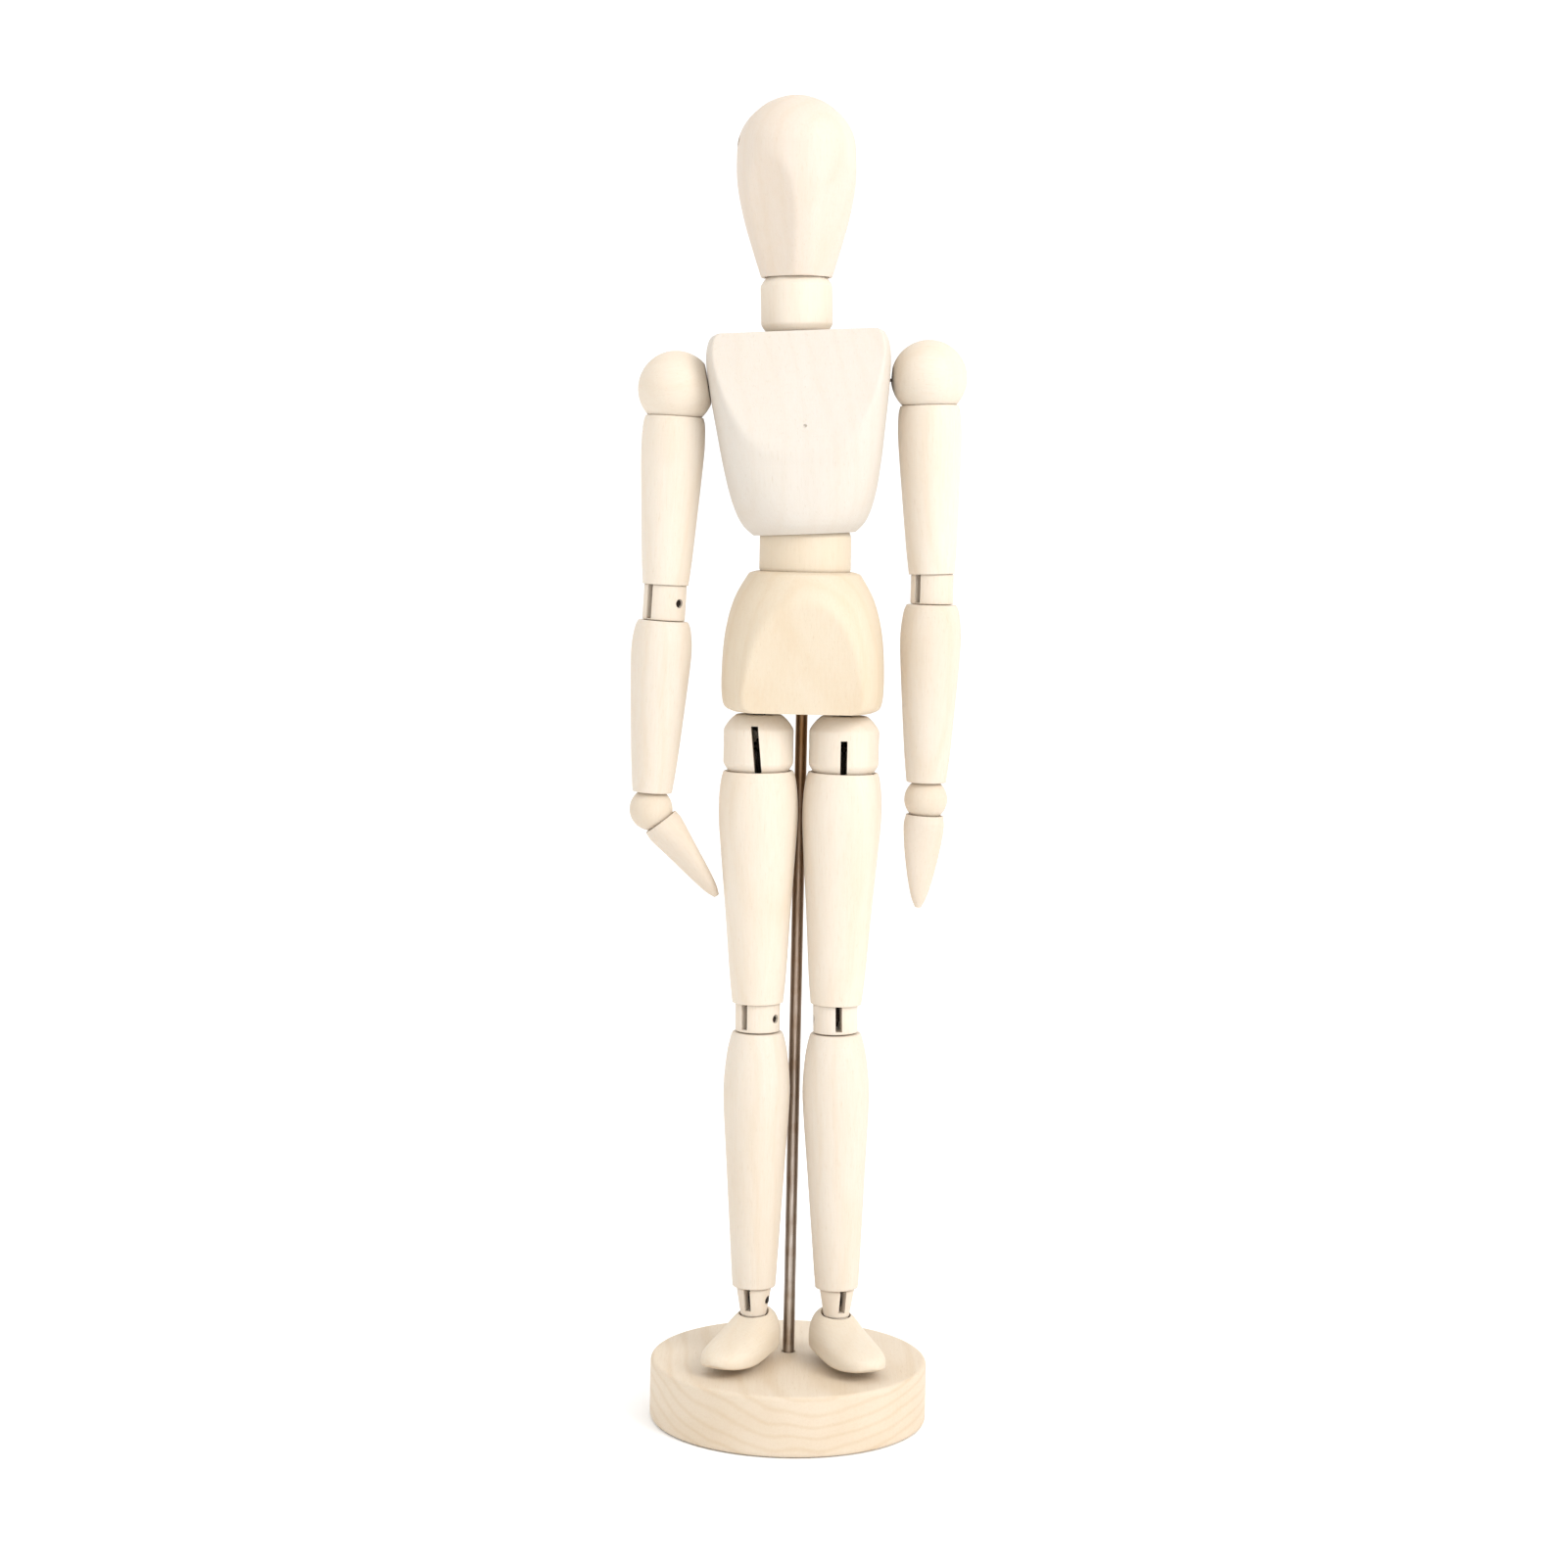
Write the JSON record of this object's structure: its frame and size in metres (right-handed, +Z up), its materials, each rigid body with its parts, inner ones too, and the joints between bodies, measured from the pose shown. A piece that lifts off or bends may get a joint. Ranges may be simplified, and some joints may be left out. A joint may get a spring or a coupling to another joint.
{
  "type": "artist mannequin",
  "caption": "Jointed wooden artist figure with slotted ball and knuckle joints on a thin steel rod in a round wooden base.",
  "frame": {"origin": "centre of the base's underside", "axes": "+Z up along the figure, the figure faces -Y, its left hand is on +X"},
  "size_m": [0.0281, 0.0242, 0.1137],
  "materials": {
    "wood_pale": "smooth sanded pale basswood, no varnish",
    "wood_warm": "smooth sanded basswood, slightly warmer",
    "wood_base": "sanded pale wood with visible grain lines",
    "support_rod": "drawn steel wire, dull",
    "inner_steel": "dark, dull steel"
  },
  "bodies": {
    "stand": {"base": "wood_base"},
    "rod": {"support_rod": "support_rod"},
    "pelvis": {"pelvis": "wood_warm", "torso_pin_lower": "inner_steel", "hip_pivot_left": "inner_steel", "hip_pivot_right": "inner_steel"},
    "waist": {"waist_barrel": "wood_warm"},
    "torso_link": {"torso_spring": "inner_steel"},
    "chest": {"chest": "wood_pale", "torso_pin_upper": "inner_steel", "shoulder_spring": "inner_steel", "neck_pin_lower": "inner_steel"},
    "neck": {"neck_barrel": "wood_pale"},
    "neck_link": {"neck_spring": "inner_steel"},
    "head": {"head": "wood_pale", "neck_pin_upper": "inner_steel"},
    "shoulder_left": {"shoulder_ball_left": "wood_pale", "shoulder_pin_left": "inner_steel"},
    "arm_link_left": {"arm_hook_left": "inner_steel"},
    "upper_arm_left": {"upper_arm_left": "wood_pale", "elbow_tongue_left": "inner_steel"},
    "forearm_left": {"elbow_knuckle_left": "wood_warm", "elbow_pin_left": "inner_steel", "forearm_left": "wood_pale"},
    "wrist_left": {"wrist_ball_left": "wood_warm"},
    "hand_left": {"hand_left": "wood_pale"},
    "shoulder_right": {"shoulder_ball_right": "wood_pale", "shoulder_pin_right": "inner_steel"},
    "arm_link_right": {"arm_hook_right": "inner_steel"},
    "upper_arm_right": {"upper_arm_right": "wood_pale", "elbow_tongue_right": "inner_steel"},
    "forearm_right": {"elbow_knuckle_right": "wood_warm", "elbow_pin_right": "inner_steel", "forearm_right": "wood_pale"},
    "wrist_right": {"wrist_ball_right": "wood_warm"},
    "hand_right": {"hand_right": "wood_pale"},
    "hip_left": {"hip_ball_left": "wood_warm", "hip_pin_left": "inner_steel"},
    "leg_link_left": {"hip_hook_left": "inner_steel"},
    "thigh_left": {"thigh_left": "wood_pale", "knee_tongue_left": "inner_steel"},
    "shin_left": {"knee_knuckle_left": "wood_warm", "knee_pin_left": "inner_steel", "shin_left": "wood_pale", "ankle_tongue_left": "inner_steel"},
    "foot_left": {"ankle_knuckle_left": "wood_warm", "ankle_pin_left": "inner_steel", "foot_left": "wood_pale"},
    "hip_right": {"hip_ball_right": "wood_warm", "hip_pin_right": "inner_steel"},
    "leg_link_right": {"hip_hook_right": "inner_steel"},
    "thigh_right": {"thigh_right": "wood_pale", "knee_tongue_right": "inner_steel"},
    "shin_right": {"knee_knuckle_right": "wood_warm", "knee_pin_right": "inner_steel", "shin_right": "wood_pale", "ankle_tongue_right": "inner_steel"},
    "foot_right": {"ankle_knuckle_right": "wood_warm", "ankle_pin_right": "inner_steel", "foot_right": "wood_pale"}
  },
  "joints": [
    {"name": "stand_push", "type": "slide", "parent": "stand", "child": "rod", "axis": [0, 0, -1], "range_m": [-0.005, 0]},
    {"name": "figure_turn", "type": "hinge", "parent": "rod", "child": "pelvis", "pos_m": [0, 0.0017, 0.05885], "axis": [0, 0, 1], "range_deg": [-90, 90]},
    {"name": "waist_bend", "type": "hinge", "parent": "pelvis", "child": "waist", "pos_m": [0, -0.0007, 0.0754], "axis": [1, 0, 0], "range_deg": [-30, 35]},
    {"name": "waist_lean", "type": "hinge", "parent": "waist", "child": "torso_link", "pos_m": [0, -0.0007, 0.0754], "axis": [0, 1, 0], "range_deg": [-1, 5]},
    {"name": "waist_twist", "type": "hinge", "parent": "torso_link", "child": "chest", "pos_m": [0, -0.0007, 0.0754], "axis": [-0.0558, 0, 0.9984], "range_deg": [-45, 45], "deforming": ["torso_spring"]},
    {"name": "neck_nod", "type": "hinge", "parent": "chest", "child": "neck", "pos_m": [-0.00116, -0.0007, 0.09622], "axis": [0.9984, 0, 0.0558], "range_deg": [-30, 30]},
    {"name": "head_tilt", "type": "hinge", "parent": "neck", "child": "neck_link", "pos_m": [-0.00116, -0.0007, 0.09622], "axis": [0, 1, 0], "range_deg": [-25, 25]},
    {"name": "head_turn", "type": "hinge", "parent": "neck_link", "child": "head", "pos_m": [-0.00116, -0.0007, 0.09622], "axis": [-0.0209, 0, 0.9998], "range_deg": [-80, 80], "deforming": ["neck_spring"]},
    {"name": "shoulder_swing_left", "type": "hinge", "parent": "chest", "child": "shoulder_left", "pos_m": [0.01016, -0.0007, 0.09034], "axis": [-0.9978, 0, 0.0663], "range_deg": [-80, 170]},
    {"name": "shoulder_lift_left", "type": "hinge", "parent": "shoulder_left", "child": "arm_link_left", "pos_m": [0.01016, -0.0007, 0.09034], "axis": [0, -1, 0], "range_deg": [-2.5, 80]},
    {"name": "arm_twist_left", "type": "hinge", "parent": "arm_link_left", "child": "upper_arm_left", "pos_m": [0.01016, -0.0007, 0.09034], "axis": [-0.0384, 0, 0.9993], "range_deg": [-90, 90]},
    {"name": "elbow_bend_left", "type": "hinge", "parent": "upper_arm_left", "child": "forearm_left", "pos_m": [0.01085, -0.0007, 0.0723], "axis": [-0.7071, 0.7071, 0.0037], "range_deg": [-70, 15]},
    {"name": "wrist_turn_left", "type": "hinge", "parent": "forearm_left", "child": "wrist_left", "pos_m": [0.01076, -0.0007, 0.05455], "axis": [0.0052, 0, 1], "range_deg": [-90, 90]},
    {"name": "wrist_bend_left", "type": "hinge", "parent": "wrist_left", "child": "hand_left", "pos_m": [0.01076, -0.0007, 0.05455], "axis": [0, -1, 0], "range_deg": [-22, 40]},
    {"name": "shoulder_swing_right", "type": "hinge", "parent": "chest", "child": "shoulder_right", "pos_m": [-0.01123, -0.0007, 0.08899], "axis": [-0.9842, 0, -0.1771], "range_deg": [-80, 170]},
    {"name": "shoulder_lift_right", "type": "hinge", "parent": "shoulder_right", "child": "arm_link_right", "pos_m": [-0.01123, -0.0007, 0.08899], "axis": [0, 1, 0], "range_deg": [0, 80]},
    {"name": "arm_twist_right", "type": "hinge", "parent": "arm_link_right", "child": "upper_arm_right", "pos_m": [-0.01123, -0.0007, 0.08899], "axis": [-0.0375, 0, -0.9993], "range_deg": [-90, 90]},
    {"name": "elbow_bend_right", "type": "hinge", "parent": "upper_arm_right", "child": "forearm_right", "pos_m": [-0.0119, -0.0007, 0.07096], "axis": [-0.7305, 0.682, 0.0357], "range_deg": [-2, 70]},
    {"name": "wrist_turn_right", "type": "hinge", "parent": "forearm_right", "child": "wrist_right", "pos_m": [-0.01277, -0.0007, 0.05323], "axis": [-0.0488, 0, -0.9988], "range_deg": [-90, 90]},
    {"name": "wrist_bend_right", "type": "hinge", "parent": "wrist_right", "child": "hand_right", "pos_m": [-0.01277, -0.0007, 0.05323], "axis": [0, 1, 0], "range_deg": [-5, 74]},
    {"name": "hip_turn_left", "type": "hinge", "parent": "pelvis", "child": "hip_left", "pos_m": [0.00366, -0.0007, 0.05885], "axis": [0, 0, 1], "range_deg": [-8, 60]},
    {"name": "hip_swing_left", "type": "hinge", "parent": "hip_left", "child": "leg_link_left", "pos_m": [0.00366, -0.0007, 0.05885], "axis": [-0.9998, 0.0175, 0], "range_deg": [-8, 80]},
    {"name": "thigh_twist_left", "type": "hinge", "parent": "leg_link_left", "child": "thigh_left", "pos_m": [0.00366, -0.0007, 0.05885], "axis": [0.0093, 0, 1], "range_deg": [-10, 60]},
    {"name": "knee_bend_left", "type": "hinge", "parent": "thigh_left", "child": "shin_left", "pos_m": [0.00344, -0.0007, 0.0354], "axis": [0.9899, 0.1392, 0.0259], "range_deg": [-56, 8]},
    {"name": "ankle_bend_left", "type": "hinge", "parent": "shin_left", "child": "foot_left", "pos_m": [0.00409, -0.0007, 0.01061], "axis": [-0.9272, -0.3746, 0], "range_deg": [-5, 25]},
    {"name": "hip_turn_right", "type": "hinge", "parent": "pelvis", "child": "hip_right", "pos_m": [-0.00366, -0.0007, 0.05885], "axis": [0, 0, -1], "range_deg": [-8, 60]},
    {"name": "hip_swing_right", "type": "hinge", "parent": "hip_right", "child": "leg_link_right", "pos_m": [-0.00366, -0.0007, 0.05885], "axis": [-0.9994, 0.0349, 0], "range_deg": [-2, 80]},
    {"name": "thigh_twist_right", "type": "hinge", "parent": "leg_link_right", "child": "thigh_right", "pos_m": [-0.00366, -0.0007, 0.05885], "axis": [0.0164, 0, -0.9999], "range_deg": [-10, 60]},
    {"name": "knee_bend_right", "type": "hinge", "parent": "thigh_right", "child": "shin_right", "pos_m": [-0.00328, -0.0007, 0.0354], "axis": [0.809, -0.5878, 0.0042], "range_deg": [-56, 1.5]},
    {"name": "ankle_bend_right", "type": "hinge", "parent": "shin_right", "child": "foot_right", "pos_m": [-0.00315, -0.0007, 0.0106], "axis": [-0.9135, 0.4067, 0], "range_deg": [-5, 25]}
  ]
}
